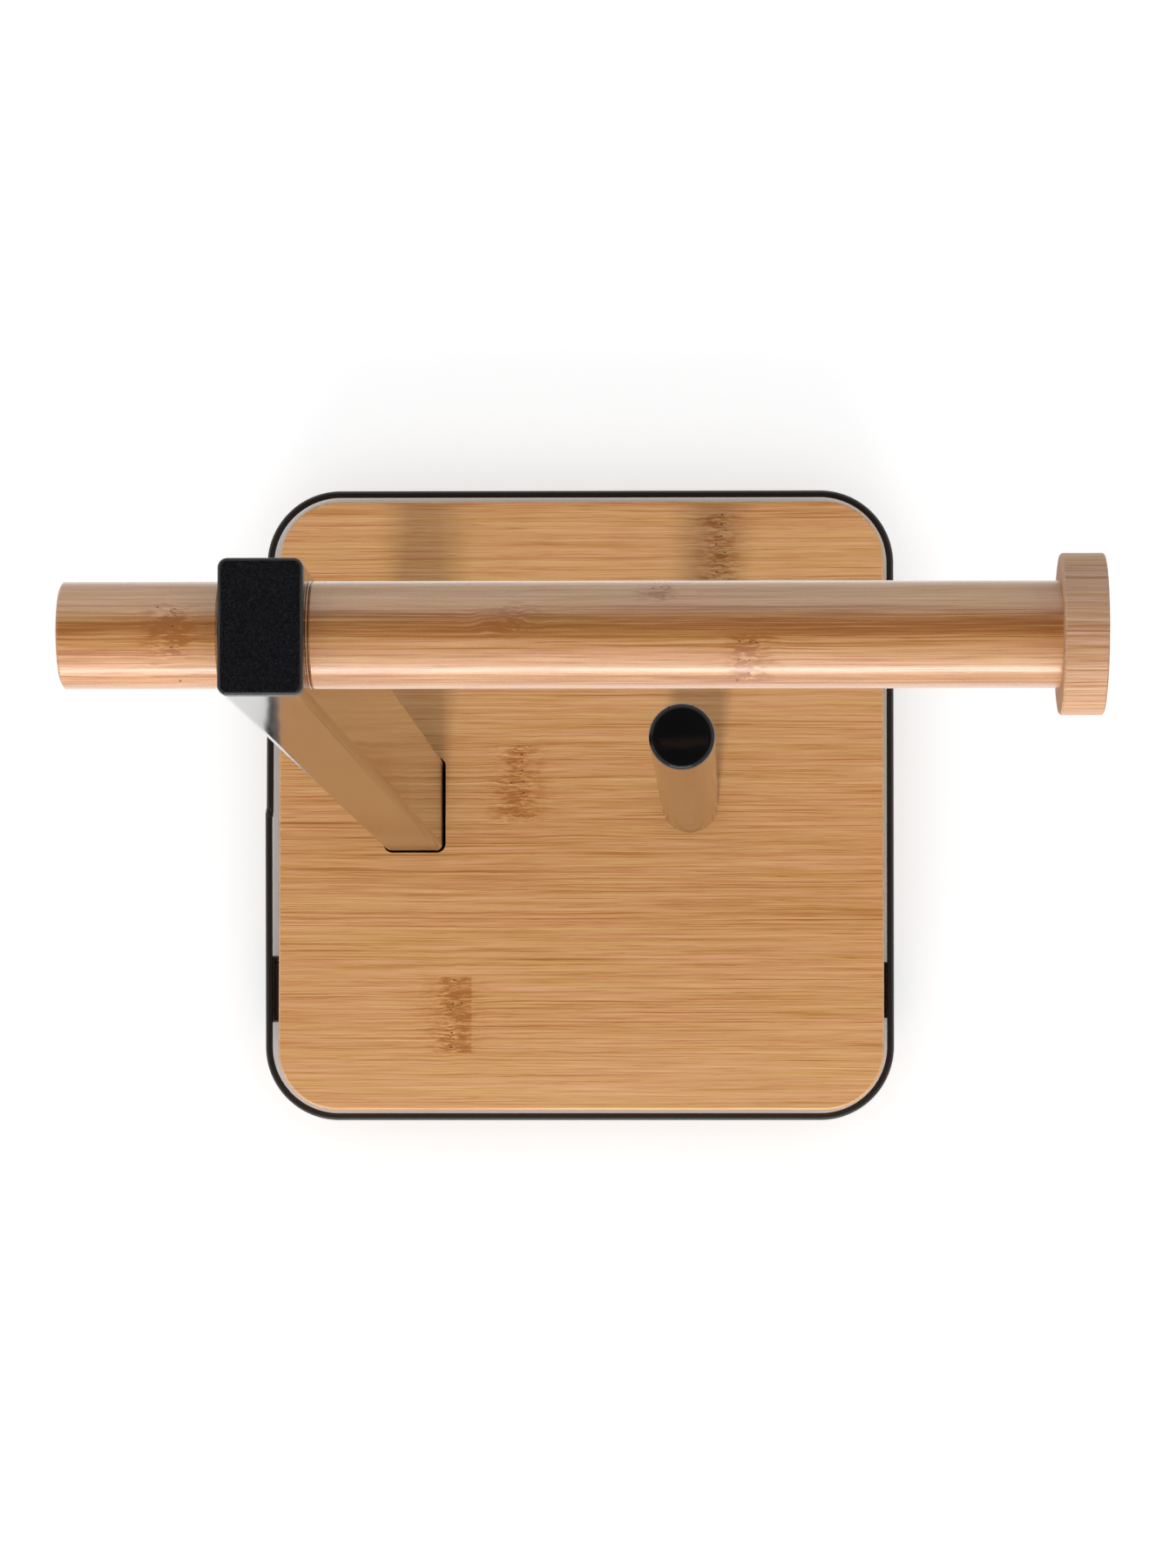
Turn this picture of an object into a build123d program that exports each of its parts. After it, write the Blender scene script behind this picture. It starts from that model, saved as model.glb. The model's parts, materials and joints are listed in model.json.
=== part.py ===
"""Free-standing paper-roll stand: a square bamboo board in a round-wire hoop, a
rectangular chromed post with a bamboo roll arm, and a round chromed rod for a
spare roll.  Millimetres, +Z up.  The roll arm points along +X and the post
stands on the -X side.  Dimensions along X and Y are from the board's centre; the
finished pieces are then set with the origin on the floor, under the middle of
the whole stand."""

import os

from build123d import *

os.makedirs("parts", exist_ok=True)

# ---------------------------------------------------------------- dimensions
# heights above the floor
foot_h = 5.0                    # rubber feet
steel_t = 2.0                   # cross bars and mounting plate
board_t = 10.0                  # bamboo board
steel_z = foot_h                # underside of the steel
board_z = steel_z + steel_t     # underside of the board
board_top = board_z + board_t   # face that the spare roll stands on

# board
board_x, board_y = 172.3, 173.7
board_r = 16.8
board_chamfer = 0.5

# wire hoop round the board, lying on the ends of the cross bars
wire_d = 2.0
hoop_x, hoop_y = 180.0, 181.0   # outside of the wire
hoop_r = 20.1                   # corner radius of the wire's centreline
hoop_dx, hoop_dy = -0.7, 0.8    # the hoop sits this far off the board's centre
hoop_z = board_z + wire_d / 2

# flat cross bars under the board, their ends under the hoop
bar_w = 16.0
bar_y = 52.4
bar_len = 179.0

# mounting plate between the bars
plate_x0, plate_x1 = -68.0, 52.0
plate_y = 2 * bar_y - bar_w     # fills the space between the bars

# rubber feet
foot_d = 14.0
foot_x = 78.0

# wood screws, bar to board
wscrew_x = 60.0
wscrew_d = 3.5
wscrew_head_d, wscrew_head_h = 7.0, 2.2
wscrew_len = 8.0                # shank above the bar's underside plus point

# post: rectangular tube, long side along Y
post_x = -47.5
post_w, post_d = 16.5, 26.5
post_r = 1.9
post_wall = 1.2
post_top = 414.5
cut_gap_x, cut_gap_y = 0.6, 0.4  # clearance of the board's cut-out round the post
cut_r = 2.6

# post cap
cap_t = 3.0
cap_edge = 0.8
cap_skirt = 9.0
cap_skirt_wall = 1.3
plug_gap = 0.1                  # clearance of plugs inside their tubes

# spare-roll rod: round tube
rod_x = 31.0
rod_d = 16.0
rod_wall = 1.0
rod_top = 207.0
rod_cap_t = 1.0                 # straight edge of the domed cap
rod_cap_dome = 1.5

# foot nuts inside the tubes, M5 screws and washers from below
nut_h = 12.0
m5_d = 5.0
m5_hole_d = 5.5
m5_head_d, m5_head_h = 9.5, 2.7
m5_len = 14.0                   # post screw, under the head
m5_len_spare = 24.0             # spare-rod screw, through the board as well
washer_d, washer_t = 10.0, 1.0
hex_af, hex_depth = 3.0, 1.6

# roll arm and its stub on the far side of the post
arm_z = 403.0
arm_d = 21.0
arm_end = 107.0                 # where the arm meets the disc
stub_end = -87.5
insert_flange_d, insert_flange_t = 13.0, 0.5
insert_d, insert_len = 10.0, 15.0
arm_chamfer = 0.4

# stud through the post
stud_d = 6.0
stud_hole_d = 6.4
stud_reach = 14.0               # into each rod, from the post's face
spacer_d = 10.0

# end disc and its dowel
disc_d, disc_t = 31.5, 8.5
dowel_d, dowel_in_arm, dowel_in_disc = 8.0, 18.0, 5.0
fit_gap = 0.05                  # radial gap of inserts, dowel and screws

post_x0, post_x1 = post_x - post_w / 2, post_x + post_w / 2
arm_start = post_x1 + insert_flange_t
stub_start = post_x0 - insert_flange_t


# middle of the whole stand: stub end to disc, and across the hoop
middle = (
    (hoop_dx - hoop_x / 2 + arm_end + disc_t) / 2,
    hoop_dy,
)


def finish(part, name):
    placed = part.moved(Location((-middle[0], -middle[1], 0)))
    placed.label = name
    export_step(placed, "parts/%s.step" % name)


# ---------------------------------------------------------------- base board
with BuildPart() as base_board:
    with BuildSketch(Plane.XY.offset(board_z)):
        RectangleRounded(board_x, board_y, board_r)
    extrude(amount=board_t)
    chamfer(base_board.faces().sort_by(Axis.Z)[-1].outer_wire().edges(), board_chamfer)
    chamfer(base_board.faces().sort_by(Axis.Z)[0].outer_wire().edges(), board_chamfer)
    # rectangular cut-out that the post passes through
    with BuildSketch(Plane.XY.offset(board_z)):
        with Locations((post_x, 0)):
            RectangleRounded(post_w + 2 * cut_gap_x, post_d + 2 * cut_gap_y, cut_r)
    extrude(amount=board_t, mode=Mode.SUBTRACT)
    # hole for the screw that holds the spare-roll rod
    with BuildSketch(Plane.XY.offset(board_z)):
        with Locations((rod_x, 0)):
            Circle(m5_hole_d / 2)
    extrude(amount=board_t, mode=Mode.SUBTRACT)
    # pilot holes for the wood screws, blind from below
    with BuildSketch(Plane.XY.offset(board_z)):
        with GridLocations(2 * wscrew_x, 2 * bar_y, 2, 2):
            Circle(wscrew_d / 2 + fit_gap)
    extrude(amount=wscrew_len - steel_t + 0.5, mode=Mode.SUBTRACT)
finish(base_board.part, "base_board")

# ---------------------------------------------------------------- wire hoop
hx, hy = (hoop_x - wire_d) / 2, (hoop_y - wire_d) / 2
with BuildPart() as wire_hoop:
    with BuildLine(Plane.XY.offset(hoop_z)) as hoop_path:
        # from the butt joint in the middle of the left side, round anticlockwise
        s1 = Line((hoop_dx - hx, hoop_dy), (hoop_dx - hx, hoop_dy - hy + hoop_r))
        c1 = JernArc(s1 @ 1, s1 % 1, hoop_r, 90)
        s2 = Line(c1 @ 1, (hoop_dx + hx - hoop_r, hoop_dy - hy))
        c2 = JernArc(s2 @ 1, s2 % 1, hoop_r, 90)
        s3 = Line(c2 @ 1, (hoop_dx + hx, hoop_dy + hy - hoop_r))
        c3 = JernArc(s3 @ 1, s3 % 1, hoop_r, 90)
        s4 = Line(c3 @ 1, (hoop_dx - hx + hoop_r, hoop_dy + hy))
        c4 = JernArc(s4 @ 1, s4 % 1, hoop_r, 90)
        s5 = Line(c4 @ 1, s1 @ 0)
    with BuildSketch(Plane(origin=(hoop_dx - hx, hoop_dy, hoop_z), x_dir=(1, 0, 0), z_dir=(0, -1, 0))):
        Circle(wire_d / 2)
    sweep(path=hoop_path.wire())
finish(wire_hoop.part, "wire_hoop")


# ---------------------------------------------------------------- cross bars
def cross_bar(y, name):
    with BuildPart() as bar:
        with BuildSketch(Plane.XY.offset(steel_z)):
            with Locations((hoop_dx, y)):
                Rectangle(bar_len, bar_w)
        extrude(amount=steel_t)
        chamfer(bar.edges().filter_by(Axis.Z), 1.0)
        with BuildSketch(Plane.XY.offset(steel_z)):
            with Locations((-wscrew_x, y), (wscrew_x, y)):
                Circle(wscrew_d / 2 + 0.25)
        extrude(amount=steel_t, mode=Mode.SUBTRACT)
    finish(bar.part, name)


cross_bar(-bar_y, "front_cross_bar")
cross_bar(bar_y, "rear_cross_bar")

# ---------------------------------------------------------------- mounting plate
with BuildPart() as mounting_plate:
    with BuildSketch(Plane.XY.offset(steel_z)):
        with Locations(((plate_x0 + plate_x1) / 2, 0)):
            Rectangle(plate_x1 - plate_x0, plate_y)
        with Locations((post_x, 0), (rod_x, 0)):
            Circle(m5_hole_d / 2, mode=Mode.SUBTRACT)
    extrude(amount=steel_t)
finish(mounting_plate.part, "mounting_plate")

# ---------------------------------------------------------------- rubber feet
with BuildPart() as rubber_feet:
    with BuildSketch(Plane.XY):
        with GridLocations(2 * foot_x, 2 * bar_y, 2, 2):
            Circle(foot_d / 2)
    extrude(amount=foot_h)
    chamfer(rubber_feet.edges().group_by(Axis.Z)[0], 0.8)
finish(rubber_feet.part, "rubber_feet")

# ---------------------------------------------------------------- wood screws
with BuildPart() as board_screws:
    with BuildSketch(Plane.XY.offset(steel_z)):
        with GridLocations(2 * wscrew_x, 2 * bar_y, 2, 2):
            Circle(wscrew_head_d / 2)
    extrude(amount=-wscrew_head_h)
    fillet(board_screws.edges().group_by(Axis.Z)[0], 1.2)
    with BuildSketch(Plane.XY.offset(steel_z)):
        with GridLocations(2 * wscrew_x, 2 * bar_y, 2, 2):
            Circle(wscrew_d / 2)
    extrude(amount=wscrew_len - 2.0)
    with BuildSketch(Plane.XY.offset(steel_z + wscrew_len - 2.0)):
        with GridLocations(2 * wscrew_x, 2 * bar_y, 2, 2):
            Circle(wscrew_d / 2)
    extrude(amount=2.0, taper=38)
    # cross recess in each head
    with BuildSketch(Plane.XY.offset(steel_z - wscrew_head_h)):
        with GridLocations(2 * wscrew_x, 2 * bar_y, 2, 2):
            Rectangle(3.6, 0.8)
            Rectangle(0.8, 3.6)
    extrude(amount=1.2, mode=Mode.SUBTRACT)
finish(board_screws.part, "board_screws")

# ---------------------------------------------------------------- post tube
with BuildPart() as post_tube:
    with BuildSketch(Plane.XY.offset(board_z)):
        with Locations((post_x, 0)):
            RectangleRounded(post_w, post_d, post_r)
            RectangleRounded(
                post_w - 2 * post_wall,
                post_d - 2 * post_wall,
                post_r - post_wall,
                mode=Mode.SUBTRACT,
            )
    extrude(amount=post_top - board_z)
    # cross hole for the stud
    with BuildSketch(Plane.YZ.offset(post_x0 - 1)):
        with Locations((0, arm_z)):
            Circle(stud_hole_d / 2)
    extrude(amount=post_w + 2, mode=Mode.SUBTRACT)
finish(post_tube.part, "post_tube")

# ---------------------------------------------------------------- post foot nut
with BuildPart() as post_foot_nut:
    with BuildSketch(Plane.XY.offset(board_z)):
        with Locations((post_x, 0)):
            RectangleRounded(
                post_w - 2 * post_wall - 2 * plug_gap,
                post_d - 2 * post_wall - 2 * plug_gap,
                post_r - post_wall,
            )
            Circle(m5_d / 2 + fit_gap, mode=Mode.SUBTRACT)
    extrude(amount=nut_h)
finish(post_foot_nut.part, "post_foot_nut")

# ---------------------------------------------------------------- post cap
with BuildPart() as post_cap:
    with BuildSketch(Plane.XY.offset(post_top)):
        with Locations((post_x, 0)):
            RectangleRounded(post_w, post_d, post_r)
    extrude(amount=cap_t)
    fillet(post_cap.faces().sort_by(Axis.Z)[-1].edges(), cap_edge)
    skirt_x = post_w - 2 * post_wall - 2 * plug_gap
    skirt_y = post_d - 2 * post_wall - 2 * plug_gap
    with BuildSketch(Plane.XY.offset(post_top)):
        with Locations((post_x, 0)):
            RectangleRounded(skirt_x, skirt_y, post_r - post_wall)
            RectangleRounded(
                skirt_x - 2 * cap_skirt_wall, skirt_y - 2 * cap_skirt_wall, 0.6, mode=Mode.SUBTRACT
            )
            Rectangle(cap_skirt_wall, skirt_y - 1)
    # the skirt stays clear of the stud spacer
    extrude(amount=-(post_top - arm_z - spacer_d / 2 - 0.5))
finish(post_cap.part, "post_cap")

# ---------------------------------------------------------------- spare-roll rod
# the rod stands on the board's top face
with BuildPart() as spare_roll_tube:
    with BuildSketch(Plane.XY.offset(board_top)):
        with Locations((rod_x, 0)):
            Circle(rod_d / 2)
            Circle(rod_d / 2 - rod_wall, mode=Mode.SUBTRACT)
    extrude(amount=rod_top - board_top)
finish(spare_roll_tube.part, "spare_roll_tube")

with BuildPart() as spare_foot_nut:
    with BuildSketch(Plane.XY.offset(board_top)):
        with Locations((rod_x, 0)):
            Circle(rod_d / 2 - rod_wall - plug_gap)
            Circle(m5_d / 2 + fit_gap, mode=Mode.SUBTRACT)
    extrude(amount=nut_h)
finish(spare_foot_nut.part, "spare_foot_nut")

# domed cap: a head that covers the tube's rim, and a hollow skirt inside it
rod_bore = rod_d / 2 - rod_wall
with BuildPart() as spare_tube_cap:
    with BuildSketch(Plane.XY.offset(rod_top)):
        with Locations((rod_x, 0)):
            Circle(rod_d / 2)
    extrude(amount=rod_cap_t + rod_cap_dome)
    # rounded shoulder, then a shallow cone that the light reads as a dome
    chamfer(spare_tube_cap.edges().group_by(Axis.Z)[-1], rod_cap_dome, 2.4 * rod_cap_dome)
    fillet(spare_tube_cap.edges().filter_by(GeomType.CIRCLE).group_by(Axis.Z)[-1], 2.4)
    fillet(spare_tube_cap.edges().filter_by(GeomType.CIRCLE).group_by(Axis.Z)[1], 0.6)
    with BuildSketch(Plane.XY.offset(rod_top)):
        with Locations((rod_x, 0)):
            Circle(rod_bore - plug_gap)
            Circle(rod_bore - plug_gap - 1.3, mode=Mode.SUBTRACT)
    extrude(amount=-cap_skirt)
finish(spare_tube_cap.part, "spare_tube_cap")

# ---------------------------------------------------------------- foot screws and washers
washer_z = steel_z - washer_t


def button_screw(x, length, name):
    with BuildPart() as screw:
        with BuildSketch(Plane.XY.offset(washer_z)):
            with Locations((x, 0)):
                Circle(m5_head_d / 2)
        extrude(amount=-m5_head_h)
        fillet(screw.edges().group_by(Axis.Z)[0], 1.4)
        with BuildSketch(Plane.XY.offset(washer_z)):
            with Locations((x, 0)):
                Circle(m5_d / 2)
        extrude(amount=length)
        chamfer(screw.edges().group_by(Axis.Z)[-1], 0.5)
        # hexagon socket
        with BuildSketch(Plane.XY.offset(washer_z - m5_head_h)):
            with Locations((x, 0)):
                RegularPolygon(hex_af / 2, 6, major_radius=False)
        extrude(amount=hex_depth, mode=Mode.SUBTRACT)
    finish(screw.part, name)


button_screw(post_x, m5_len, "post_foot_screw")
button_screw(rod_x, m5_len_spare, "spare_foot_screw")

with BuildPart() as foot_washers:
    with BuildSketch(Plane.XY.offset(washer_z)):
        with Locations((post_x, 0), (rod_x, 0)):
            Circle(washer_d / 2)
            Circle(m5_hole_d / 2, mode=Mode.SUBTRACT)
    extrude(amount=washer_t)
finish(foot_washers.part, "foot_washers")

# ---------------------------------------------------------------- roll arm
with BuildPart() as roll_arm:
    with BuildSketch(Plane.YZ.offset(arm_start)):
        with Locations((0, arm_z)):
            Circle(arm_d / 2)
    extrude(amount=arm_end - arm_start)
    chamfer(roll_arm.edges().group_by(Axis.X)[0], arm_chamfer)
    # bore for the threaded insert
    with BuildSketch(Plane.YZ.offset(arm_start)):
        with Locations((0, arm_z)):
            Circle(insert_d / 2 + fit_gap)
    extrude(amount=insert_len + 0.5, mode=Mode.SUBTRACT)
    # bore for the dowel
    with BuildSketch(Plane.YZ.offset(arm_end)):
        with Locations((0, arm_z)):
            Circle(dowel_d / 2 + fit_gap)
    extrude(amount=-(dowel_in_arm + 0.5), mode=Mode.SUBTRACT)
finish(roll_arm.part, "roll_arm")

# ---------------------------------------------------------------- arm stub
with BuildPart() as arm_stub:
    with BuildSketch(Plane.YZ.offset(stub_end)):
        with Locations((0, arm_z)):
            Circle(arm_d / 2)
    extrude(amount=stub_start - stub_end)
    chamfer(arm_stub.edges().group_by(Axis.X)[0], arm_chamfer)
    chamfer(arm_stub.edges().group_by(Axis.X)[-1], arm_chamfer)
    with BuildSketch(Plane.YZ.offset(stub_start)):
        with Locations((0, arm_z)):
            Circle(insert_d / 2 + fit_gap)
    extrude(amount=-(insert_len + 0.5), mode=Mode.SUBTRACT)
finish(arm_stub.part, "arm_stub")

# ---------------------------------------------------------------- threaded inserts
with BuildPart() as rod_inserts:
    for flange_x, way in ((post_x1, 1), (post_x0, -1)):
        # flange between the rod's end and the post, body inside the rod
        with BuildSketch(Plane.YZ.offset(flange_x)):
            with Locations((0, arm_z)):
                Circle(insert_flange_d / 2)
        extrude(amount=way * insert_flange_t)
        with BuildSketch(Plane.YZ.offset(flange_x)):
            with Locations((0, arm_z)):
                Circle(insert_d / 2)
        extrude(amount=way * (insert_flange_t + insert_len))
    with BuildSketch(Plane.YZ.offset(post_x0 - insert_flange_t - insert_len - 1)):
        with Locations((0, arm_z)):
            Circle(stud_d / 2 + fit_gap)
    extrude(amount=post_w + 2 * (insert_flange_t + insert_len + 1), mode=Mode.SUBTRACT)
finish(rod_inserts.part, "rod_inserts")

# ---------------------------------------------------------------- through stud
with BuildPart() as through_stud:
    with BuildSketch(Plane.YZ.offset(post_x0 - stud_reach)):
        with Locations((0, arm_z)):
            Circle(stud_d / 2)
    extrude(amount=post_w + 2 * stud_reach)
    chamfer(through_stud.edges().filter_by(GeomType.CIRCLE), 0.5)
finish(through_stud.part, "through_stud")

with BuildPart() as stud_spacer:
    with BuildSketch(Plane.YZ.offset(post_x0 + post_wall)):
        with Locations((0, arm_z)):
            Circle(spacer_d / 2)
            Circle(stud_hole_d / 2, mode=Mode.SUBTRACT)
    extrude(amount=post_w - 2 * post_wall)
finish(stud_spacer.part, "stud_spacer")

# ---------------------------------------------------------------- end disc and dowel
with BuildPart() as end_disc:
    with BuildSketch(Plane.YZ.offset(arm_end)):
        with Locations((0, arm_z)):
            Circle(disc_d / 2)
    extrude(amount=disc_t)
    chamfer(end_disc.edges().filter_by(GeomType.CIRCLE), 0.3)
    with BuildSketch(Plane.YZ.offset(arm_end)):
        with Locations((0, arm_z)):
            Circle(dowel_d / 2 + fit_gap)
    extrude(amount=dowel_in_disc + 0.5, mode=Mode.SUBTRACT)
finish(end_disc.part, "end_disc")

with BuildPart() as disc_dowel:
    with BuildSketch(Plane.YZ.offset(arm_end - dowel_in_arm)):
        with Locations((0, arm_z)):
            Circle(dowel_d / 2)
    extrude(amount=dowel_in_arm + dowel_in_disc)
    chamfer(disc_dowel.edges().filter_by(GeomType.CIRCLE), 0.6)
finish(disc_dowel.part, "disc_dowel")
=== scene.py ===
import json
import math

import bmesh
import bpy
from mathutils import Matrix, Vector

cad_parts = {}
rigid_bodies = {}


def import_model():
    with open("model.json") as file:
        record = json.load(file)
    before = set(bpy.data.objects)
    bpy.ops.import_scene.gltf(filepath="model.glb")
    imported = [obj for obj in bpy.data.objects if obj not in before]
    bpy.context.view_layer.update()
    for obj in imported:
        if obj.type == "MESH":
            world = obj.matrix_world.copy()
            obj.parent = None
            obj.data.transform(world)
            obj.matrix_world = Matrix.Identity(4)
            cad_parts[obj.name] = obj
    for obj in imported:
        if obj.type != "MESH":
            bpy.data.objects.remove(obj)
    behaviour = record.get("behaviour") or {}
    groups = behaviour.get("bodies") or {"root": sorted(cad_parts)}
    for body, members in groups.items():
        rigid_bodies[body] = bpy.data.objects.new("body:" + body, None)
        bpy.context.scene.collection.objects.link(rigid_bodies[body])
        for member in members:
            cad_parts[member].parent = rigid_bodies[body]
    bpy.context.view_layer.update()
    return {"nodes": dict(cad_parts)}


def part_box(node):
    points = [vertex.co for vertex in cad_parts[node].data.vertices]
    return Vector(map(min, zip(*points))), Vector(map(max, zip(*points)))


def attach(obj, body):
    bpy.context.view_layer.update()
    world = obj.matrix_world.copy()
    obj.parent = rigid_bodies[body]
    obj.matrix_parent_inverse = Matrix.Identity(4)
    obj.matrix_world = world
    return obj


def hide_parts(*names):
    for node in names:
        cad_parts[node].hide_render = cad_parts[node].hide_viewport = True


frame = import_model()
NODES = frame["nodes"]
scene = bpy.context.scene
scene.view_settings.view_transform = "Standard"
scene.view_settings.look = "None"
MM = 0.001
_lo, _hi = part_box("base_board")
BX, BY = (_lo.x + _hi.x) / 2, (_lo.y + _hi.y) / 2  # middle of the board


def at(x, y, z):
    """A point given in millimetres from the board's middle, in the frame's metres."""
    return Vector((BX + x * MM, BY + y * MM, z * MM))


# ------------------------------------------------------------------ node helper
def lin(c):
    """sRGB 0..255 to linear, with alpha."""
    out = []
    for v in c:
        v = v / 255.0
        out.append(v / 12.92 if v <= 0.04045 else ((v + 0.055) / 1.055) ** 2.4)
    return tuple(out) + (1.0,)


class Net:
    """A small builder for shader nodes."""

    def __init__(self, name):
        self.m = bpy.data.materials.new(name)
        self.m.use_nodes = True
        self.t = self.m.node_tree
        self.t.nodes.clear()
        self.out = self.t.nodes.new("ShaderNodeOutputMaterial")
        self.b = self.t.nodes.new("ShaderNodeBsdfPrincipled")
        self.t.links.new(self.b.outputs[0], self.out.inputs[0])
        co = self.t.nodes.new("ShaderNodeTexCoord")
        sc = self.t.nodes.new("ShaderNodeVectorMath")
        sc.operation = "MULTIPLY_ADD"
        sc.inputs[1].default_value = (1000.0, 1000.0, 1000.0)
        sc.inputs[2].default_value = (-BX * 1000.0, -BY * 1000.0, 0.0)
        self.t.links.new(co.outputs["Object"], sc.inputs[0])
        self.p = sc.outputs[0]  # millimetres from the board's middle
        se = self.t.nodes.new("ShaderNodeSeparateXYZ")
        self.t.links.new(self.p, se.inputs[0])
        self.x, self.y, self.z = se.outputs[0], se.outputs[1], se.outputs[2]

    def put(self, sock, v):
        if isinstance(v, bpy.types.NodeSocket):
            self.t.links.new(v, sock)
        else:
            sock.default_value = v

    def m1(self, op, a, b=0.0, c=0.0, clamp=False):
        n = self.t.nodes.new("ShaderNodeMath")
        n.operation = op
        n.use_clamp = clamp
        for s, v in zip(n.inputs, (a, b, c)):
            self.put(s, v)
        return n.outputs[0]

    def add(self, a, b):
        return self.m1("ADD", a, b)

    def sub(self, a, b):
        return self.m1("SUBTRACT", a, b)

    def mul(self, a, b):
        return self.m1("MULTIPLY", a, b)

    def mad(self, a, b, c):
        return self.m1("MULTIPLY_ADD", a, b, c)

    def xyz(self, x, y, z):
        n = self.t.nodes.new("ShaderNodeCombineXYZ")
        for s, v in zip(n.inputs, (x, y, z)):
            self.put(s, v)
        return n.outputs[0]

    def scaled(self, sx, sy, sz, x=None, y=None, z=None):
        return self.xyz(
            self.mul(x or self.x, sx), self.mul(y or self.y, sy), self.mul(z or self.z, sz)
        )

    def noise(self, vec, scale=1.0, detail=2.0, rough=0.5, dist=0.0):
        n = self.t.nodes.new("ShaderNodeTexNoise")
        self.put(n.inputs["Vector"], vec)
        n.inputs["Scale"].default_value = scale
        n.inputs["Detail"].default_value = detail
        n.inputs["Roughness"].default_value = rough
        n.inputs["Distortion"].default_value = dist
        return n.outputs[0]

    def cells(self, vec, scale=1.0, rand=1.0):
        n = self.t.nodes.new("ShaderNodeTexVoronoi")
        self.put(n.inputs["Vector"], vec)
        n.inputs["Scale"].default_value = scale
        n.inputs["Randomness"].default_value = rand
        return n.outputs["Distance"]

    def white(self, v):
        n = self.t.nodes.new("ShaderNodeTexWhiteNoise")
        n.noise_dimensions = "1D"
        self.put(n.inputs["W"], v)
        return n.outputs[0]

    def smooth(self, v, lo, hi, a=0.0, b=1.0):
        n = self.t.nodes.new("ShaderNodeMapRange")
        n.interpolation_type = "SMOOTHSTEP"
        for s, w in zip(n.inputs, (v, lo, hi, a, b)):
            self.put(s, w)
        return n.outputs[0]

    def ramp(self, v, stops, mode="LINEAR"):
        n = self.t.nodes.new("ShaderNodeValToRGB")
        e = n.color_ramp.elements
        n.color_ramp.interpolation = mode
        while len(e) < len(stops):
            e.new(0.5)
        for k, (p, c) in enumerate(stops):
            e[k].position = p
            e[k].color = c if isinstance(c, tuple) else (c, c, c, 1.0)
        self.put(n.inputs[0], v)
        return n.outputs[0]

    def mix(self, f, a, b, mode="MIX"):
        n = self.t.nodes.new("ShaderNodeMix")
        n.data_type = "RGBA"
        n.blend_type = mode
        self.put(n.inputs[0], f)
        self.put(n.inputs[6], a)
        self.put(n.inputs[7], b)
        return n.outputs[2]

    def bump(self, h, strength, dist):
        n = self.t.nodes.new("ShaderNodeBump")
        n.inputs["Strength"].default_value = strength
        n.inputs["Distance"].default_value = dist
        self.put(n.inputs["Height"], h)
        self.t.links.new(n.outputs[0], self.b.inputs["Normal"])

    def set(self, **k):
        for name, v in k.items():
            self.put(self.b.inputs[name.replace("_", " ")], v)


# ------------------------------------------------------------------ bamboo
def fibres(n, x, y, z):
    """Streaks along X at several widths, about -1..1."""
    broad = n.noise(n.scaled(0.004, 0.28, 0.28, x, y, z), 1.0, 2.0, 0.5)
    mid = n.noise(n.scaled(0.014, 1.6, 1.6, x, y, z), 1.0, 3.0, 0.66)
    fine = n.noise(n.scaled(0.050, 3.4, 3.4, x, y, z), 1.0, 2.0, 0.6)
    t = n.mul(n.sub(broad, 0.5), 1.3)
    t = n.add(t, n.mul(n.sub(mid, 0.5), 4.2))
    t = n.add(t, n.mul(n.sub(fine, 0.5), 4.4))
    # thin dark fibres and pale ones: long and sparse
    line = n.noise(n.scaled(0.011, 2.4, 2.4, x, n.add(y, 31.0), z), 1.0, 1.0, 0.5)
    t = n.sub(t, n.mul(n.smooth(line, 0.58, 0.72), 1.5))
    pale = n.noise(n.scaled(0.015, 2.0, 2.0, x, n.add(y, 77.0), z), 1.0, 1.0, 0.5)
    t = n.add(t, n.mul(n.smooth(pale, 0.60, 0.75), 0.9))
    # short flecks
    fleck = n.noise(n.scaled(0.11, 4.6, 4.6, x, n.add(y, 11.0), z), 1.0, 1.0, 0.5)
    t = n.sub(t, n.mul(n.smooth(fleck, 0.62, 0.76), 1.1))
    return t, mid, fine


def gauss(n, v, c, w):
    """1 at c, falling off with half-width w."""
    d = n.mul(n.sub(v, c), 1.0 / w)
    return n.m1("POWER", 2.718, n.mul(n.mul(d, d), -1.0))


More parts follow.
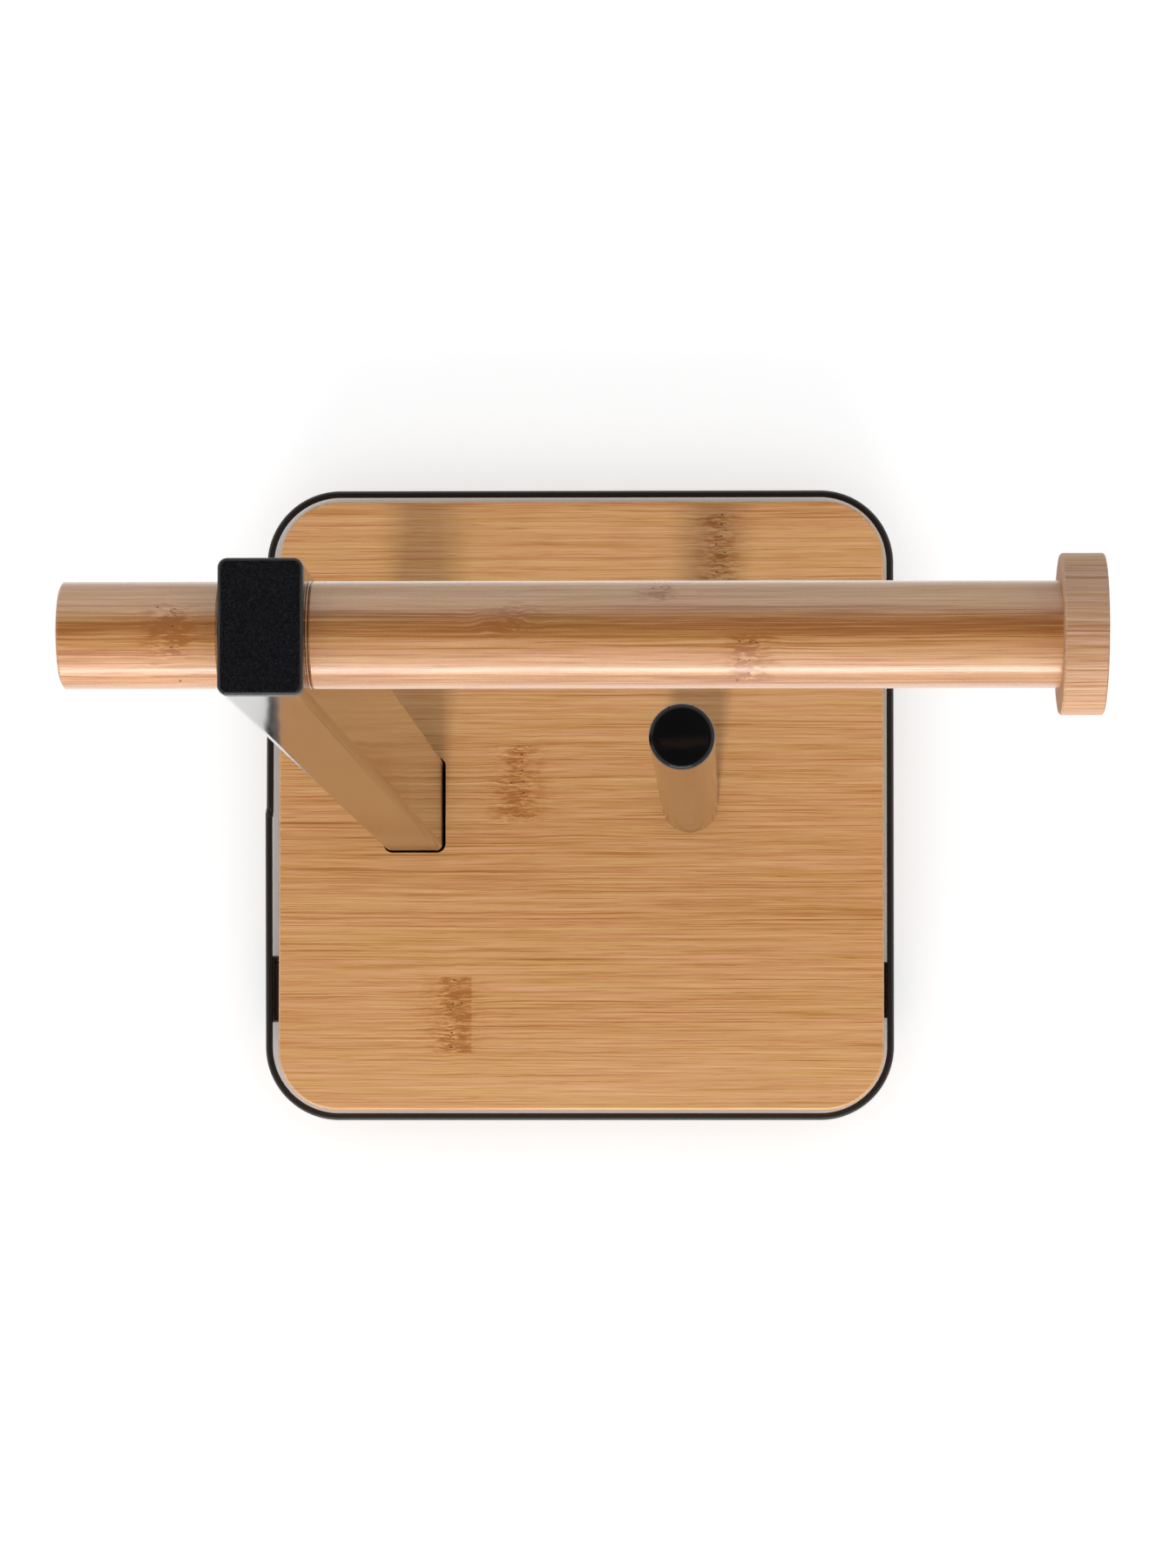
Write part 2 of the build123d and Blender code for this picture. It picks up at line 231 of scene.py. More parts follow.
def node_mark(n, x, y, z, m):
    """The mark of a culm's joint: short wavy strokes, toned patches, and pin holes."""
    xc, lo, hi, w, seed = m["x"], m["lo"], m["hi"], m["w"], m["seed"]
    power = m.get("power", 1.0)
    inside = n.mul(n.smooth(y, lo - 0.2, lo + 0.4), n.smooth(y, hi - 0.4, hi + 0.2, 1.0, 0.0))
    g = n.mul(gauss(n, x, xc, w), inside)
    near = n.mul(gauss(n, x, xc, w * 0.62), inside)
    warp = n.noise(n.scaled(0.34, 0.5, 0.5, x, y, n.add(z, seed)), 1.0, 2.0, 0.5)
    yy = n.add(y, n.mul(n.sub(warp, 0.5), 1.9))
    stroke = n.noise(n.scaled(0.30, 2.5, 1.0, x, yy, n.add(z, seed * 2.0)), 1.0, 3.0, 0.65)
    dark = n.mul(n.smooth(stroke, 0.51, 0.62), near)
    light = n.mul(n.smooth(stroke, 0.46, 0.34), near)
    patch = n.noise(n.scaled(0.20, 0.75, 0.3, x, yy, n.add(z, seed * 3.0)), 1.0, 3.0, 0.6)
    t = n.mul(g, -0.18 * power)
    t = n.sub(t, n.mul(n.mul(n.smooth(patch, 0.42, 0.62), g), 1.25 * power))
    t = n.sub(t, n.mul(dark, 1.9 * power))
    t = n.add(t, n.mul(light, 1.3 * power))
    if m.get("edge") is not None:
        e = m["edge"]
        side = n.mul(n.smooth(x, e - 0.3, e + 0.2, 1.0, 0.0), n.smooth(x, e - 6.0, e - 1.0))
        t = n.sub(t, n.mul(n.mul(side, inside), n.mad(stroke, 1.6 * power, 0.05)))
    return t


def pin_hole(n, x, y, hx, hy, r=0.36):
    dx, dy = n.mul(n.sub(x, hx), 1.0 / r), n.mul(n.sub(y, hy), 1.45 / r)
    return n.smooth(n.add(n.mul(dx, dx), n.mul(dy, dy)), 1.25, 0.25)


def bamboo(name, tones=(), marks=(), strips=None, bands_with_painted_shade_and_sheen=None, base=(196, 146, 97), rough=0.42,
           depth=0.00006, contrast=0.95, glitter=0.35, coat=0.0):
    n = Net(name)
    x, y, z = n.x, n.y, n.z
    if strips:
        start, pitch, count = strips
        k = n.m1("FLOOR", n.mul(n.sub(y, start), 1.0 / pitch))
        jump = n.white(k)
        xx = n.add(x, n.mul(jump, 700.0))
        zz = n.add(z, n.mul(k, 17.3))
    else:
        xx, zz = x, z
    # the grain bends a little, and more beside the joints' marks
    sway = n.noise(n.scaled(0.016, 0.05, 0.05, xx, y, zz), 1.0, 2.0, 0.5)
    yy = n.add(y, n.mul(n.sub(sway, 0.5), 1.4))
    for m in marks:
        pull = n.mul(gauss(n, x, m["x"], m["w"] * 1.6), gauss(n, y, (m["lo"] + m["hi"]) / 2, (m["hi"] - m["lo"]) * 0.7))
        curl = n.noise(n.scaled(0.11, 0.22, 0.2, x, y, n.add(z, m["seed"])), 1.0, 2.0, 0.5)
        yy = n.add(yy, n.mul(n.mul(pull, n.sub(curl, 0.5)), m.get("curl", 2.6)))
    t, mid, fine = fibres(n, xx, yy, zz)
    t = n.mul(t, contrast)
    if strips:
        pos = n.mul(n.sub(y, start), 1.0 / (pitch * count))
        tone = n.ramp(pos, [(i / count, (v + 2.0) / 4.0) for i, v in enumerate(tones)], "CONSTANT")
        t = n.add(t, n.mad(tone, 4.0, -2.0))
        # glue lines
        fr = n.m1("FRACT", n.mul(n.sub(y, start), 1.0 / pitch))
        seam = n.m1("ABSOLUTE", n.sub(fr, 0.5))
        t = n.sub(t, n.mul(n.smooth(seam, 0.4925, 0.4985), 0.5))
    # bands round the rod by y carry painted light: painted shade across the upward-facing middle and under the front
    # highlight, and a painted sheen lighter towards the back; on the arm and stub they also hold a real darker laminate
    # with a sharp seam
    if bands_with_painted_shade_and_sheen:
        lo, hi, stops = bands_with_painted_shade_and_sheen
        wob = n.noise(n.scaled(0.012, 0.02, 0.02), 1.0, 2.0, 0.5)
        pos = n.mul(n.sub(n.add(y, n.mul(n.sub(wob, 0.5), 1.6)), lo), 1.0 / (hi - lo))
        tone = n.ramp(pos, [((p - lo) / (hi - lo), (v + 3.0) / 6.0) for p, v in stops])
        t = n.add(t, n.mad(tone, 6.0, -3.0))
    holes = None
    for m in marks:
        mt = node_mark(n, x, y, z, m)
        hole = None
        for hx, hy in m.get("holes", ()):
            h1 = pin_hole(n, x, y, hx, hy, m.get("pin", 0.36))
            hole = h1 if hole is None else n.m1("MAXIMUM", hole, h1)
        if m.get("top"):
            up = n.smooth(z, m["top"] - 1.0, m["top"] + 1.0)
            mt = n.mul(mt, up)
            hole = n.mul(hole, up) if hole else None
        t = n.add(t, mt)
        if hole:
            holes = hole if holes is None else n.m1("MAXIMUM", holes, hole)
    b = lin(base)
    dark2 = (b[0] * 0.60, b[1] * 0.42, b[2] * 0.24, 1)
    dark = (b[0] * 0.82, b[1] * 0.70, b[2] * 0.52, 1)
    light = (b[0] * 1.13, b[1] * 1.22, b[2] * 1.36, 1)
    light2 = (b[0] * 1.28, b[1] * 1.48, b[2] * 1.85, 1)
    col = n.ramp(n.mad(t, 0.25, 0.5), [(0.0, dark2), (0.25, dark), (0.5, b), (0.75, light), (1.0, light2)])
    # some fibres are pinker, some yellower
    tint = n.noise(n.scaled(0.02, 0.9, 0.9, xx, n.add(yy, 53.0), zz), 1.0, 2.0, 0.6)
    shade = n.ramp(tint, [(0.30, (0.98, 1.025, 0.86, 1)), (0.5, (1.0, 1.0, 1.0, 1)), (0.70, (1.035, 0.975, 1.09, 1))])
    col = n.mix(1.0, col, shade, "MULTIPLY")
    # the pin holes are painted near black: painted shade inside the holes
    if holes is not None:
        col = n.mix(holes, col, (b[0] * 0.22, b[1] * 0.12, b[2] * 0.06, 1))
    n.set(Base_Color=col)
    grain = n.noise(n.scaled(0.22, 6.0, 6.0, xx, yy, zz), 1.0, 3.0, 0.7)
    speck = n.noise(n.p, 3.2, 3.0, 0.7)
    n.set(Roughness=n.mad(n.add(mid, speck), 0.22, rough - 0.22))
    n.b.inputs["Coat Weight"].default_value = coat
    n.b.inputs["Coat Roughness"].default_value = 0.21
    n.b.inputs["Coat IOR"].default_value = 1.6
    cross = n.noise(n.scaled(2.2, 0.7, 0.7, x, y, z), 1.0, 3.0, 0.7)
    h = n.add(n.mul(grain, 0.6), n.add(n.mul(n.add(speck, n.mul(cross, 1.4)), glitter), n.mul(fine, 0.45)))
    if holes is not None:
        h = n.sub(h, n.mul(holes, 2.0))
    n.bump(h, 0.5, depth)
    return n.m


board_mat = bamboo(
    "bamboo_board",
    tones=(0.36, 0.0, -0.08, -0.24, -0.18, 0.05, 0.10, 0.16, -0.40),
    strips=(-92.85, 22.0, 9),
    base=(200, 148, 97),
    marks=(
        dict(x=-36.6, lo=-70.8, hi=-48.9, w=7.0, seed=3.1, edge=-31.2, power=1.1, holes=(
            (-36.1, -50.0), (-36.5, -56.6), (-37.1, -58.4), (-34.0, -56.5), (-36.8, -65.0), (-37.0, -69.05))),
        dict(x=-18.0, lo=-4.8, hi=17.1, w=7.5, seed=9.4, power=1.1, holes=(
            (-17.0, 14.45), (-16.9, 12.3), (-16.86, 9.85), (-16.5, 6.7), (-16.36, 3.4), (-19.9, 6.35))),
        dict(x=39.0, lo=61.2, hi=83.1, w=6.0, seed=21.7, power=1.25, holes=(
            (40.2, 83.0), (40.0, 80.3), (40.0, 76.8), (38.5, 74.5), (40.9, 72.1), (38.6, 66.5))),
    ),
    rough=0.46,
    depth=0.00004,
)
arm_mat = bamboo(
    "bamboo_arm",
    # across the arm: a real darker laminate band with a sharp seam near y -1.6, plus painted shade on the top and under
    # the front highlight and a painted sheen lighter towards the back
    bands_with_painted_shade_and_sheen=(-10.5, 10.5, [(-10.5, -0.9), (-8.8, -1.05), (-7.9, -0.45), (-5.5, -0.35), (-2.0, -0.38), (-1.55, -1.45), (1.0, -1.55), (3.0, -0.75), (5.5, 0.15), (10.5, 0.85)]),
    marks=(
        dict(x=46.6, lo=-9.6, hi=-1.4, w=3.6, seed=5.2, top=403.0, power=2.1, pin=0.26, holes=((44.6, -2.5), (46.7, -2.6), (47.9, -2.7), (44.5, -5.9), (46.5, -6.0), (46.4, -8.3), (44.1, -9.4))),
        dict(x=29.6, lo=5.4, hi=9.6, w=4.0, seed=15.6, top=403.0, power=1.0, pin=0.24, holes=((27.8, 8.3), (29.4, 8.5), (31.0, 8.4), (29.9, 6.6))),
        dict(x=1.5, lo=-0.6, hi=4.6, w=5.0, seed=25.3, top=403.0, power=0.8, curl=6.0),
    ),
    base=(189, 141, 96),
    rough=0.24,
    contrast=0.95,
    depth=0.00010,
    glitter=0.7,
    coat=1.0,
)
stub_mat = bamboo(
    "bamboo_stub",
    # across the stub: a real darker laminate band with a seam near y -0.6, plus painted shade on the top and front and
    # a painted sheen lighter towards the back
    bands_with_painted_shade_and_sheen=(-10.5, 10.5, [(-10.5, -1.0), (-8.8, -0.95), (-7.9, -0.5), (-3.0, -0.6), (-1.6, -0.9), (-0.6, -1.5), (0.8, -1.3), (2.6, -0.05), (5.0, 0.45), (10.5, 1.2)]),
    marks=(dict(x=-65.3, lo=-5.2, hi=5.2, w=4.2, seed=7.7, top=403.0, power=2.0, pin=0.28, holes=((-67.8, 4.3), (-65.2, 3.5), (-64.8, 0.55), (-65.1, -3.5), (-64.0, -9.4))),),
    base=(196, 146, 99),
    rough=0.24,
    contrast=1.05,
    depth=0.00010,
    glitter=0.7,
    coat=1.0,
)
disc_mat = bamboo(
    "bamboo_disc",
    # painted shade darker across the disc's upward-facing middle, and a painted sheen lighter towards the back
    bands_with_painted_shade_and_sheen=(-16.0, 16.0, [(-16.0, -0.25), (-6.0, -0.2), (-4.0, -0.55), (0.0, -0.2), (3.0, -0.3), (8.0, 0.1), (16.0, 0.45)]),
    base=(186, 147, 117),
    rough=0.6,
)
dowel_mat = bamboo("beech_dowel", base=(205, 168, 126), rough=0.6)


# ------------------------------------------------------------------ metals, plastics, rubber
def chrome():
    n = Net("chrome_plate")
    wave = n.noise(n.scaled(0.05, 0.05, 0.012), 1.0, 2.0, 0.5)
    micro = n.noise(n.p, 0.9, 3.0, 0.6)
    smear = n.noise(n.scaled(0.12, 0.12, 0.03), 1.0, 3.0, 0.6)
    n.set(
        Base_Color=n.mix(smear, lin((150, 149, 149)), lin((166, 166, 167))),
        Metallic=1.0,
        Roughness=n.mad(smear, 0.10, 0.045),
    )
    ripple = n.noise(n.scaled(0.26, 0.26, 2.0), 1.0, 3.0, 0.65)
    n.bump(n.add(n.mul(wave, 1.0), n.add(n.mul(micro, 0.02), n.mul(ripple, 0.05))), 0.35, 0.0006)
    return n.m


def coat_black(name, c, rough, grain, depth):
    n = Net(name)
    peel = n.noise(n.p, grain, 3.0, 0.6)
    big = n.noise(n.p, grain * 0.12, 2.0, 0.5)
    n.set(
        Base_Color=n.mix(big, lin(tuple(v * 0.82 for v in c)), lin(tuple(v * 1.15 for v in c))),
        Roughness=n.mad(peel, 0.16, rough - 0.08),
    )
    n.bump(peel, 0.4, depth)
    return n.m


def speckled_plastic():
    n = Net("black_moulded_plastic")
    spark = n.noise(n.p, 6.0, 2.0, 0.8)
    cloud = n.noise(n.p, 2.6, 3.0, 0.8)
    dots = n.smooth(n.add(n.mul(spark, 0.6), n.mul(cloud, 0.4)), 0.50, 0.68)
    n.set(
        Base_Color=n.mix(dots, lin((2, 2, 4)), lin((26, 28, 38))),
        Specular_IOR_Level=0.5,
        Roughness=n.mad(spark, 0.12, 0.17),
    )
    n.bump(n.add(spark, n.mul(dots, 0.5)), 0.5, 0.00006)
    return n.m


def gloss_plastic():
    n = Net("black_gloss_plastic")
    wave = n.noise(n.p, 0.12, 2.0, 0.5)
    micro = n.noise(n.p, 2.5, 2.0, 0.5)
    n.set(Base_Color=n.mix(wave, lin((4, 4, 5)), lin((9, 9, 10))), Roughness=n.mad(micro, 0.10, 0.10), Specular_IOR_Level=0.35)
    n.bump(n.add(wave, n.mul(micro, 0.04)), 0.3, 0.0003)
    return n.m


def metal(name, a, b, rough, across=6.0):
    n = Net(name)
    turn = n.noise(n.scaled(across, across, 0.6), 1.0, 3.0, 0.6)
    blot = n.noise(n.p, 0.35, 3.0, 0.6)
    n.set(Base_Color=n.mix(blot, lin(a), lin(b)), Metallic=1.0, Roughness=n.mad(n.add(turn, blot), 0.16, rough - 0.16))
    n.bump(turn, 0.25, 0.00005)
    return n.m


def rubber():
    n = Net("black_rubber")
    dust = n.noise(n.p, 1.2, 4.0, 0.7)
    n.set(Base_Color=n.mix(dust, lin((22, 22, 22)), lin((48, 47, 45))), Roughness=n.mad(dust, 0.2, 0.7))
    n.bump(dust, 0.5, 0.0001)
    return n.m


chrome_mat = chrome()
coat_mat = coat_black("black_powder_coat", (22, 21, 22), 0.42, 2.2, 0.00006)
bar_mat = coat_black("black_powder_coat_bars", (20, 20, 21), 0.5, 2.2, 0.00008)
cap_mat = speckled_plastic()
gloss_mat = gloss_plastic()
zinc_mat = metal("zinc_plate", (168, 168, 160), (196, 194, 186), 0.38)
black_steel_mat = metal("black_oxide_steel", (24, 24, 25), (44, 43, 42), 0.45)
rubber_mat = rubber()

PAINT = {
    "base_board": board_mat,
    "wire_hoop": coat_mat,
    "front_cross_bar": bar_mat,
    "rear_cross_bar": bar_mat,
    "mounting_plate": bar_mat,
    "rubber_feet": rubber_mat,
    "board_screws": zinc_mat,
    "post_tube": chrome_mat,
    "post_foot_nut": zinc_mat,
    "post_cap": cap_mat,
    "spare_roll_tube": chrome_mat,
    "spare_foot_nut": zinc_mat,
    "spare_tube_cap": gloss_mat,
    "post_foot_screw": zinc_mat,
    "spare_foot_screw": zinc_mat,
    "foot_washers": zinc_mat,
    "roll_arm": arm_mat,
    "arm_stub": stub_mat,
    "rod_inserts": black_steel_mat,
    "through_stud": zinc_mat,
    "stud_spacer": zinc_mat,
    "end_disc": disc_mat,
    "disc_dowel": dowel_mat,
}
for name, mat in PAINT.items():
    o = NODES[name]
    o.data.materials.clear()
    o.data.materials.append(mat)

# ------------------------------------------------------------------ pieces
def mesh_piece(name, verts, faces, mat, replaces=()):
    me = bpy.data.meshes.new(name)
    me.from_pydata([tuple(v) for v in verts], [], faces)
    me.validate()
    me.polygons.foreach_set("use_smooth", [True] * len(me.polygons))
    me.update()
    o = bpy.data.objects.new(name, me)
    scene.collection.objects.link(o)
    me.materials.append(mat)
    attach(o, "root")
    if replaces:
        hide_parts(*replaces)
    return o


def lathe(profile, axis_at, seg=72):
    """Turns (radius, height) pairs round a vertical axis; the ends lie on the axis or are closed flat."""
    verts, faces, rings = [], [], []
    for r, h in profile:
        if r < 1e-6:
            rings.append([len(verts)])
            verts.append(axis_at + Vector((0, 0, h * MM)))
        else:
            ring = []
            for k in range(seg):
                a = 2 * math.pi * k / seg
                ring.append(len(verts))
                verts.append(axis_at + Vector((r * MM * math.cos(a), r * MM * math.sin(a), h * MM)))
            rings.append(ring)
    for a, b in zip(rings, rings[1:]):
        if len(a) == 1 and len(b) > 1:
            faces += [(a[0], b[k], b[(k + 1) % seg]) for k in range(seg)]
        elif len(b) == 1 and len(a) > 1:
            faces += [(a[k], b[0], a[(k + 1) % seg]) for k in range(seg)]
        elif len(a) > 1:
            faces += [(a[k], b[k], b[(k + 1) % seg], a[(k + 1) % seg]) for k in range(seg)]
    return verts, faces


def tube(path, radii, seg=20, closed=False):
    """A round tube along points in metres, with a radius in metres at each."""
    verts, faces, n = [], [], len(path)
    up = Vector((0, 0, 1))
    for i, p in enumerate(path):
        a = path[(i - 1) % n] if (closed or i > 0) else path[i]
        b = path[(i + 1) % n] if (closed or i < n - 1) else path[i]
        t = (b - a).normalized()
        side = t.cross(up)
        side = side.normalized() if side.length > 1e-6 else Vector((1, 0, 0))
        top = side.cross(t).normalized()
        for k in range(seg):
            ang = 2 * math.pi * k / seg
            verts.append(p + (side * math.cos(ang) + top * math.sin(ang)) * radii[i])
    last = n if closed else n - 1
    for i in range(last):
        j = (i + 1) % n
        for k in range(seg):
            l = (k + 1) % seg
            faces.append((i * seg + k, i * seg + l, j * seg + l, j * seg + k))
    if not closed:
        faces.append(tuple(range(seg - 1, -1, -1)))
        faces.append(tuple((n - 1) * seg + k for k in range(seg)))
    return verts, faces


def join(parts):
    verts, faces = [], []
    for v, f in parts:
        base = len(verts)
        verts += v
        faces += [tuple(i + base for i in face) for face in f]
    return verts, faces


# the hoop: one bent wire whose two ends meet at a butt weld on the left, a little out of line
h_lo, h_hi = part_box("wire_hoop")
WR = (h_hi.z - h_lo.z) / 2  # wire radius
HZ = (h_hi.z + h_lo.z) / 2
hx0, hx1 = h_lo.x + WR, h_hi.x - WR
hy0, hy1 = h_lo.y + WR, h_hi.y - WR
HR = 0.0201  # corner radius of the wire's centreline
joint_y = BY - 1.4 * MM
STEP = 0.00034
pts = []


def run(a, b, step=0.002):
    k = max(2, int((b - a).length / step))
    return [a.lerp(b, i / k) for i in range(k)]


def turn(cx, cy, a0, a1, k=28):
    return [
        Vector((cx + HR * math.cos(a0 + (a1 - a0) * i / k), cy + HR * math.sin(a0 + (a1 - a0) * i / k), HZ))
        for i in range(k)
    ]


left_low = [Vector((p.x - STEP * max(0.0, 1.0 - (joint_y - p.y) / (joint_y - hy0 - HR)) ** 1.0, p.y, p.z))
            for p in run(Vector((hx0, joint_y, HZ)), Vector((hx0, hy0 + HR, HZ)))]
path = left_low
path += turn(hx0 + HR, hy0 + HR, math.pi, 1.5 * math.pi)
path += run(Vector((hx0 + HR, hy0, HZ)), Vector((hx1 - HR, hy0, HZ)))
path += turn(hx1 - HR, hy0 + HR, -0.5 * math.pi, 0)
path += run(Vector((hx1, hy0 + HR, HZ)), Vector((hx1, hy1 - HR, HZ)))
path += turn(hx1 - HR, hy1 - HR, 0, 0.5 * math.pi)
path += run(Vector((hx1 - HR, hy1, HZ)), Vector((hx0 + HR, hy1, HZ)))
path += turn(hx0 + HR, hy1 - HR, 0.5 * math.pi, math.pi)
path += run(Vector((hx0, hy1 - HR, HZ)), Vector((hx0, joint_y, HZ))) + [Vector((hx0, joint_y, HZ))]
hoop_parts = [tube(path, [WR] * len(path), 24)]
# the butt weld: a low lump round the joint
lump = [Vector((hx0 - STEP * 0.45, joint_y + d * MM, HZ)) for d in (-1.3, -0.9, -0.5, -0.15, 0.2, 0.55, 0.9, 1.2)]
lr = [0.94, 1.01, 1.05, 1.07, 1.06, 1.05, 1.01, 0.93]
hoop_parts.append(tube(lump, [WR * v for v in lr], 24))
hv, hf = join(hoop_parts)
hoop = mesh_piece("hoop_wire", hv, hf, coat_mat, ("wire_hoop",))

# weld beads: hoop to bar ends, lumpy and short
beads = []
for bar in ("front_cross_bar", "rear_cross_bar"):
    lo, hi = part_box(bar)
    for side, hx in ((-1, hx0), (1, hx1)):
        ya, yb = lo.y + 0.9 * MM, hi.y - 0.9 * MM
        if side < 0:
            ya, yb = lo.y - 1.2 * MM, hi.y + 1.2 * MM
        k = 26
        pth, rad = [], []
        for i in range(k + 1):
            f = i / k
            y = ya + (yb - ya) * f
            w = 1.0 + 0.16 * math.sin(f * 31.0 + side) + 0.10 * math.sin(f * 57.0 + 2.0 * side)
            end = min(1.0, min(f, 1 - f) * 9.0 + 0.25)
            pth.append(Vector((hx - side * (WR * 0.95), y, hi.z + 0.25 * MM)))
            rad.append(0.62 * MM * w * end ** 0.5)
        beads.append(tube(pth, rad, 12))
# fillets where the front bar's left end meets the wire: they widen the bar in the gap
b_lo, b_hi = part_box("front_cross_bar")
d_lo, d_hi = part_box("base_board")
for y, r in ((b_hi.y + 0.95 * MM, 0.98), (b_lo.y - 0.35 * MM, 0.80)):
    k = 14
    pth = [Vector((hx0 + (d_lo.x + 1.5 * MM - hx0) * i / k, y, (b_lo.z + b_hi.z) / 2)) for i in range(k + 1)]
    beads.append(tube(pth, [r * MM * (1 + 0.05 * math.sin(i * 2.3)) for i in range(k + 1)], 14))
bv, bf = join(beads)
mesh_piece("hoop_weld_beads", bv, bf, bar_mat)

# weld seams between the mounting plate and the two bars, seen from below
seams = []
p_lo, p_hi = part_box("mounting_plate")
for y in (p_lo.y, p_hi.y):
    for x0 in (p_lo.x + 8 * MM, p_lo.x + 50 * MM, p_hi.x - 24 * MM):
        pth, rad = [], []
        for i in range(25):
            f = i / 24
            pth.append(Vector((x0 + 16 * MM * f, y, p_lo.z - 0.05 * MM)))
            rad.append(0.8 * MM * (1 + 0.14 * math.sin(f * 44.0)) * min(1.0, min(f, 1 - f) * 9.0 + 0.3) ** 0.5)
        seams.append(tube(pth, rad, 12))
sv, sf = join(seams)
mesh_piece("plate_weld_seams", sv, sf, bar_mat)

# a thin bamboo collar against the post; a dark seam is left between it and the arm
pt_lo, pt_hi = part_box("post_tube")
ra_lo, ra_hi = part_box("roll_arm")
AZ = (ra_lo.z + ra_hi.z) / 2
AR = (ra_hi.z - ra_lo.z) / 2 / MM
gap = (ra_lo.x - pt_hi.x) / MM
ring = [(6.75, 0.02), (AR - 0.15, 0.02), (AR, 0.08), (AR, gap * 0.62), (AR - 0.12, gap * 0.70), (6.75, gap * 0.70), (6.75, 0.02)]
rv, rf = lathe(ring, Vector((0, 0, 0)), 96)
rv = [Vector((pt_hi.x + v.z, BY + v.y, AZ - v.x)) for v in rv]
mesh_piece("arm_collar", rv, rf, arm_mat)

# the spare rod's cap: a smooth dome with a rounded shoulder, and two nubs left by the mould
c_lo, c_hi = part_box("spare_tube_cap")
t_lo, t_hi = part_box("spare_roll_tube")
cc = Vector(((t_lo.x + t_hi.x) / 2, (t_lo.y + t_hi.y) / 2, t_hi.z))
CR = (t_hi.x - t_lo.x) / 2 / MM
prof = [(0.0, 2.5)]
for i in range(1, 15):
    r = (CR - 1.5) * i / 14
    prof.append((r, 2.5 - 0.62 * (r / (CR - 1.5)) ** 2.2))
for i in range(1, 9):
    a = math.radians(14 + 76 * i / 8)
    prof.append((CR - 1.5 + 1.5 * math.sin(a) / 1.0 - 0.0, 1.88 - 1.45 * (1 - math.cos(a))))
prof = [(min(r, CR), h) for r, h in prof]
prof += [(CR, 0.3), (CR - 0.12, 0.0), (CR - 1.1, 0.0), (CR - 1.1, -8.5), (CR - 2.4, -8.5), (CR - 2.4, -0.5), (0.0, -0.5)]
cap_parts = [lathe(prof, cc)]
for ang in (114.0, 71.0):
    a = math.radians(ang)
    base = cc + Vector(((CR - 0.42) * MM * math.cos(a), (CR - 0.42) * MM * math.sin(a), 0.7 * MM))
    nub = [base + Vector((0, 0, d * MM)) for d in (0.0, 0.3, 0.6, 0.8, 0.92)]
    cap_parts.append(tube(nub, [v * MM for v in (0.40, 0.42, 0.36, 0.24, 0.06)], 12))
cv, cf = join(cap_parts)
mesh_piece("spare_rod_cap", cv, cf, gloss_mat, ("spare_tube_cap",))

# ------------------------------------------------------------------ stage
bm = bmesh.new()
bmesh.ops.create_grid(bm, x_segments=1, y_segments=1, size=6.0)
me = bpy.data.meshes.new("floor")
bm.to_mesh(me)
bm.free()
floor = bpy.data.objects.new("floor", me)
scene.collection.objects.link(floor)
nf = Net("pale_floor")
fl = nf.noise(nf.p, 0.004, 3.0, 0.5)
nf.set(Base_Color=nf.mix(fl, (0.90, 0.90, 0.895, 1), (0.93, 0.93, 0.925, 1)), Roughness=0.8)
nf.b.inputs["Specular IOR Level"].default_value = 0.2
nf.b.inputs["Emission Color"].default_value = (1.0, 1.0, 1.0, 1.0)
# the backdrop glows a little outside the hoop, none under the stand
qx = nf.m1("MAXIMUM", nf.sub(nf.m1("ABSOLUTE", nf.add(nf.x, 0.7)), 69.5), 0.0)
qy = nf.m1("MAXIMUM", nf.sub(nf.m1("ABSOLUTE", nf.sub(nf.y, 0.8)), 70.0), 0.0)
away = nf.m1("SQRT", nf.add(nf.mul(qx, qx), nf.mul(qy, qy)))
nf.put(nf.b.inputs["Emission Strength"], nf.mul(nf.mul(nf.smooth(away, 19.0, 21.0), nf.smooth(away, 200.0, 420.0, 1.0, 0.0)), 0.46))
floor.data.materials.append(nf.m)

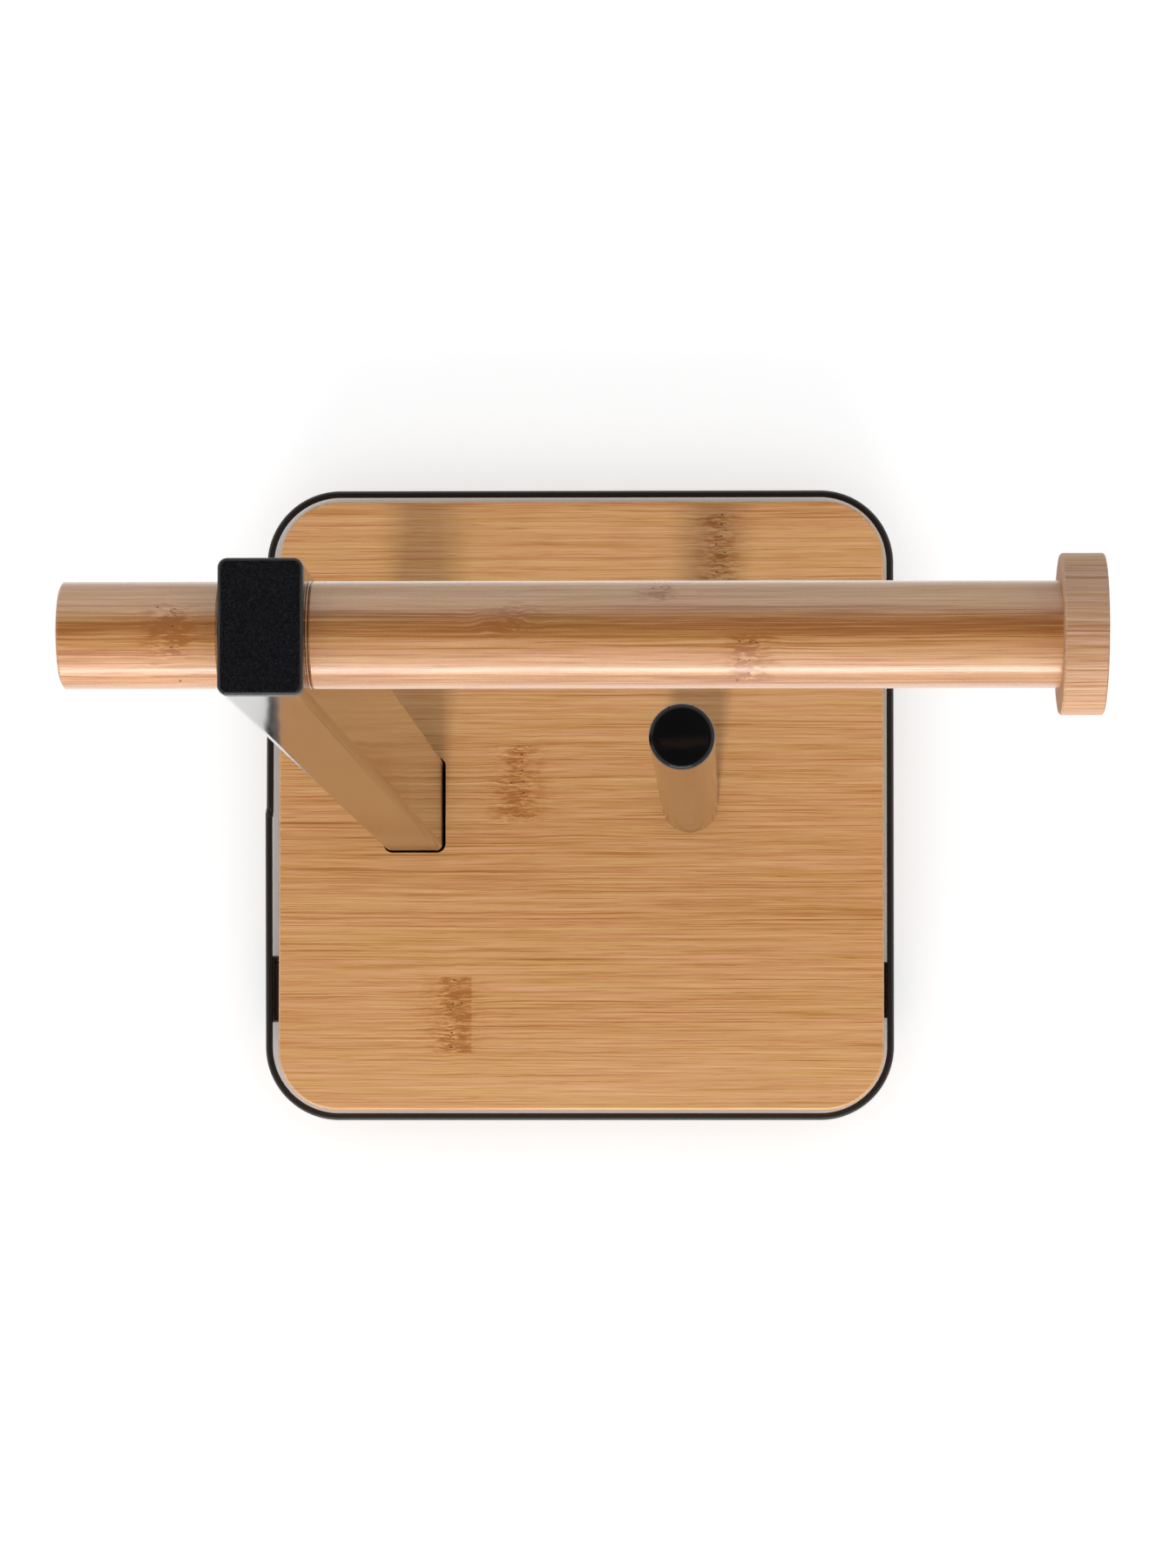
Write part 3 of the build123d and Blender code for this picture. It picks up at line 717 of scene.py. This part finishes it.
# a studio with bright walls and a dark ceiling
world = bpy.data.worlds.new("studio")
scene.world = world
world.use_nodes = True
wt = world.node_tree
bg = wt.nodes["Background"]
wc = wt.nodes.new("ShaderNodeTexCoord")
ws = wt.nodes.new("ShaderNodeSeparateXYZ")
wr = wt.nodes.new("ShaderNodeValToRGB")
wt.links.new(wc.outputs["Generated"], ws.inputs[0])
wt.links.new(ws.outputs[2], wr.inputs[0])
wt.links.new(wr.outputs[0], bg.inputs[0])
e = wr.color_ramp.elements
wr.color_ramp.interpolation = "EASE"
while len(e) < 4:
    e.new(0.5)
for k, (p, v) in enumerate(((0.0, 0.95), (0.62, 1.0), (0.86, 0.09), (1.0, 0.07))):
    e[k].position = p
    e[k].color = (v * 0.985, v * 0.99, v, 1.0)
bg.inputs[1].default_value = 1.06


def softbox(name, where, aim, size, power, colour=(1, 1, 1)):
    d = bpy.data.lights.new(name, "AREA")
    d.shape = "RECTANGLE"
    d.size, d.size_y = size
    d.energy = power
    d.color = colour
    o = bpy.data.objects.new(name, d)
    scene.collection.objects.link(o)
    o.location = where
    o.rotation_euler = (Vector(aim) - Vector(where)).to_track_quat("-Z", "Y").to_euler()
    return o


softbox("front_strip", (-0.06, -1.35, 0.46), (0, 0, 0.40), (1.1, 0.25), 6.8, (1.0, 0.985, 0.96))
key = softbox("window_strip", (-0.125, -1.75, 1.55), (0, 0, 0.2), (0.22, 1.30), 30.0, (1.0, 0.985, 0.96))
key.visible_glossy = False
# the tall strip lights the stand only, so the floor stays evenly pale
lit = bpy.data.collections.new("lit_by_window_strip")
for o in scene.objects:
    if o.type == "MESH" and o is not floor:
        lit.objects.link(o)
key.light_linking.receiver_collection = lit

# ------------------------------------------------------------------ camera
F, CX, CY, CZ, RX, RY = 4935.97, 43.54, -105.14, 1238.83, 0.0323472, 0.0121176  # px of 1800, mm, rad
cam_data = bpy.data.cameras.new("camera")
cam_data.sensor_width = 36.0
cam_data.sensor_fit = "AUTO"
cam_data.lens = F / 1800.0 * 36.0
cam_data.shift_x = -0.06
cam_data.shift_y = 0.16
cam_data.clip_start = 0.01
cam = bpy.data.objects.new("camera", cam_data)
scene.collection.objects.link(cam)
cam.matrix_world = Matrix.Translation(at(CX, CY, CZ)) @ (
    Matrix.Rotation(RY, 4, "Y") @ Matrix.Rotation(RX, 4, "X")
)
scene.camera = cam
